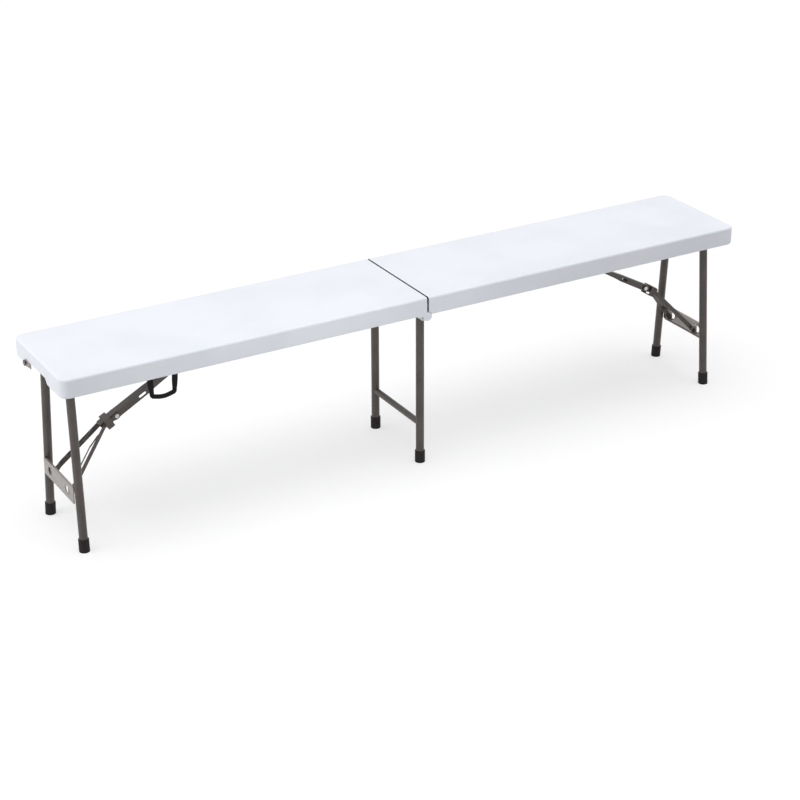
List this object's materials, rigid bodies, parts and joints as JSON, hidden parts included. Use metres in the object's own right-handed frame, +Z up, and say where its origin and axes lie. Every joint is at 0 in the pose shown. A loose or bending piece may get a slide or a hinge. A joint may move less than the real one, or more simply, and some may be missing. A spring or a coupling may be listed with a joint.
{
  "type": "folding bench",
  "caption": "Long narrow bench with a white moulded plastic seat that folds in half, splayed tube end frames with locking braces, a middle frame, a side handle and an end latch.",
  "frame": {"origin": "floor under the middle of the seat, below the centre hinge", "axes": "+X along the seat towards the half without the handle, +Y to the side away from the handle, +Z up"},
  "size_m": [1.85, 0.292, 0.448],
  "materials": {
    "seat_plastic": "white blow-moulded polyethylene with a fine satin grain",
    "frame_steel": "dark warm grey powder coat",
    "plate_steel": "mid grey powder coat, worn lighter",
    "bright_steel": "zinc plated",
    "foot_rubber": "black-brown moulded rubber",
    "handle_plastic": "black moulded plastic"
  },
  "bodies": {
    "root": {"left_seat_panel": "seat_plastic", "left_front_rail": "frame_steel", "left_rear_rail": "frame_steel", "left_hinge_plates": "bright_steel", "left_axle_brackets": "frame_steel", "left_link_bracket": "frame_steel", "left_link_pin": "bright_steel", "left_rail_screws": "bright_steel", "left_bracket_screws": "bright_steel", "hinge_rod": "bright_steel", "handle_tabs": "handle_plastic", "handle_screws": "bright_steel", "latch_pin": "frame_steel"},
    "right_half": {"right_seat_panel": "seat_plastic", "right_front_rail": "frame_steel", "right_rear_rail": "frame_steel", "right_hinge_plates": "bright_steel", "right_axle_brackets": "frame_steel", "right_link_bracket": "frame_steel", "right_link_pin": "bright_steel", "right_rail_screws": "bright_steel", "right_bracket_screws": "bright_steel", "latch_stud": "bright_steel"},
    "left_leg": {"left_axle_tube": "frame_steel", "left_front_leg": "frame_steel", "left_rear_leg": "frame_steel", "left_front_foot": "foot_rubber", "left_rear_foot": "foot_rubber", "left_cross_plate": "plate_steel", "left_brace_lugs": "plate_steel", "left_foot_rivets": "frame_steel"},
    "left_arms": {"left_front_arm": "frame_steel", "left_rear_arm": "frame_steel", "left_knee_rivet": "bright_steel"},
    "left_strut": {"left_brace_strut": "frame_steel"},
    "left_ring": {"left_lock_ring": "frame_steel"},
    "left_link": {"left_brace_link": "frame_steel"},
    "right_leg": {"right_axle_tube": "frame_steel", "right_front_leg": "frame_steel", "right_rear_leg": "frame_steel", "right_front_foot": "foot_rubber", "right_rear_foot": "foot_rubber", "right_cross_plate": "plate_steel", "right_brace_lugs": "plate_steel", "right_foot_rivets": "frame_steel"},
    "right_arms": {"right_front_arm": "frame_steel", "right_rear_arm": "frame_steel", "right_knee_rivet": "bright_steel"},
    "right_strut": {"right_brace_strut": "frame_steel"},
    "right_ring": {"right_lock_ring": "frame_steel"},
    "right_link": {"right_brace_link": "frame_steel"},
    "mid_frame": {"mid_sleeve": "frame_steel", "mid_front_leg": "frame_steel", "mid_rear_leg": "frame_steel", "mid_front_foot": "foot_rubber", "mid_rear_foot": "foot_rubber", "mid_crossbar": "frame_steel"},
    "handle": {"carry_handle": "handle_plastic"},
    "latch": {"latch_hook": "plate_steel"}
  },
  "joints": [
    {"name": "seat_fold", "type": "hinge", "parent": "root", "child": "right_half", "pos_m": [0, 0, 0.399], "axis": [0, 1, 0], "range_deg": [0, 180]},
    {"name": "left_leg_fold", "type": "hinge", "parent": "root", "child": "left_leg", "pos_m": [-0.875, 0, 0.416], "axis": [0, -1, 0], "range_deg": [0, 90.83]},
    {"name": "left_arm_turn", "type": "hinge", "parent": "left_leg", "child": "left_arms", "pos_m": [-0.87907, 0, 0.134], "axis": [0, -1, 0], "range_deg": [0, 44.43]},
    {"name": "left_knee_turn", "type": "hinge", "parent": "left_arms", "child": "left_strut", "pos_m": [-0.7445, 0, 0.26739], "axis": [0, 1, 0], "range_deg": [0, 163.9]},
    {"name": "left_ring_slide", "type": "slide", "parent": "left_strut", "child": "left_ring", "axis": [0.8776, 0, 0.4795], "range_m": [0, 0.134]},
    {"name": "left_link_turn", "type": "hinge", "parent": "root", "child": "left_link", "pos_m": [-0.4725, 0, 0.416], "axis": [0, 1, 0], "range_deg": [0, 28.65]},
    {"name": "right_leg_fold", "type": "hinge", "parent": "right_half", "child": "right_leg", "pos_m": [0.875, 0, 0.416], "axis": [0, 1, 0], "range_deg": [0, 90.83]},
    {"name": "right_arm_turn", "type": "hinge", "parent": "right_leg", "child": "right_arms", "pos_m": [0.87907, 0, 0.134], "axis": [0, 1, 0], "range_deg": [0, 44.43]},
    {"name": "right_knee_turn", "type": "hinge", "parent": "right_arms", "child": "right_strut", "pos_m": [0.7445, 0, 0.26739], "axis": [0, -1, 0], "range_deg": [0, 163.9]},
    {"name": "right_ring_slide", "type": "slide", "parent": "right_strut", "child": "right_ring", "axis": [-0.8776, 0, 0.4795], "range_m": [0, 0.134]},
    {"name": "right_link_turn", "type": "hinge", "parent": "right_half", "child": "right_link", "pos_m": [0.4725, 0, 0.416], "axis": [0, -1, 0], "range_deg": [0, 28.65]},
    {"name": "mid_frame_fold", "type": "hinge", "parent": "root", "child": "mid_frame", "pos_m": [0, 0, 0.399], "axis": [0, 1, 0], "range_deg": [0, 90]},
    {"name": "handle_swing", "type": "hinge", "parent": "root", "child": "handle", "pos_m": [-0.681, -0.1388, 0.399], "axis": [-1, 0, 0], "range_deg": [0, 90]},
    {"name": "latch_swing", "type": "hinge", "parent": "root", "child": "latch", "pos_m": [-0.92055, 0.067, 0.411], "axis": [1, 0, 0], "range_deg": [0, 90]}
  ],
  "couplings": [
    {"joint": "left_leg_fold", "follows": "seat_fold", "ratio": 0.50459},
    {"joint": "left_arm_turn", "follows": "seat_fold", "ratio": 0.24681},
    {"joint": "left_knee_turn", "follows": "seat_fold", "ratio": 0.91057},
    {"joint": "left_ring_slide", "follows": "seat_fold", "m_per_rad": 0.042653},
    {"joint": "left_link_turn", "follows": "seat_fold", "ratio": 0.15917},
    {"joint": "right_leg_fold", "follows": "seat_fold", "ratio": 0.50459},
    {"joint": "right_arm_turn", "follows": "seat_fold", "ratio": 0.24681},
    {"joint": "right_knee_turn", "follows": "seat_fold", "ratio": 0.91057},
    {"joint": "right_ring_slide", "follows": "seat_fold", "m_per_rad": 0.042653},
    {"joint": "right_link_turn", "follows": "seat_fold", "ratio": 0.15917},
    {"joint": "mid_frame_fold", "follows": "seat_fold", "ratio": 0.5},
    {"joint": "handle_swing", "follows": "seat_fold", "ratio": 0.5}
  ]
}
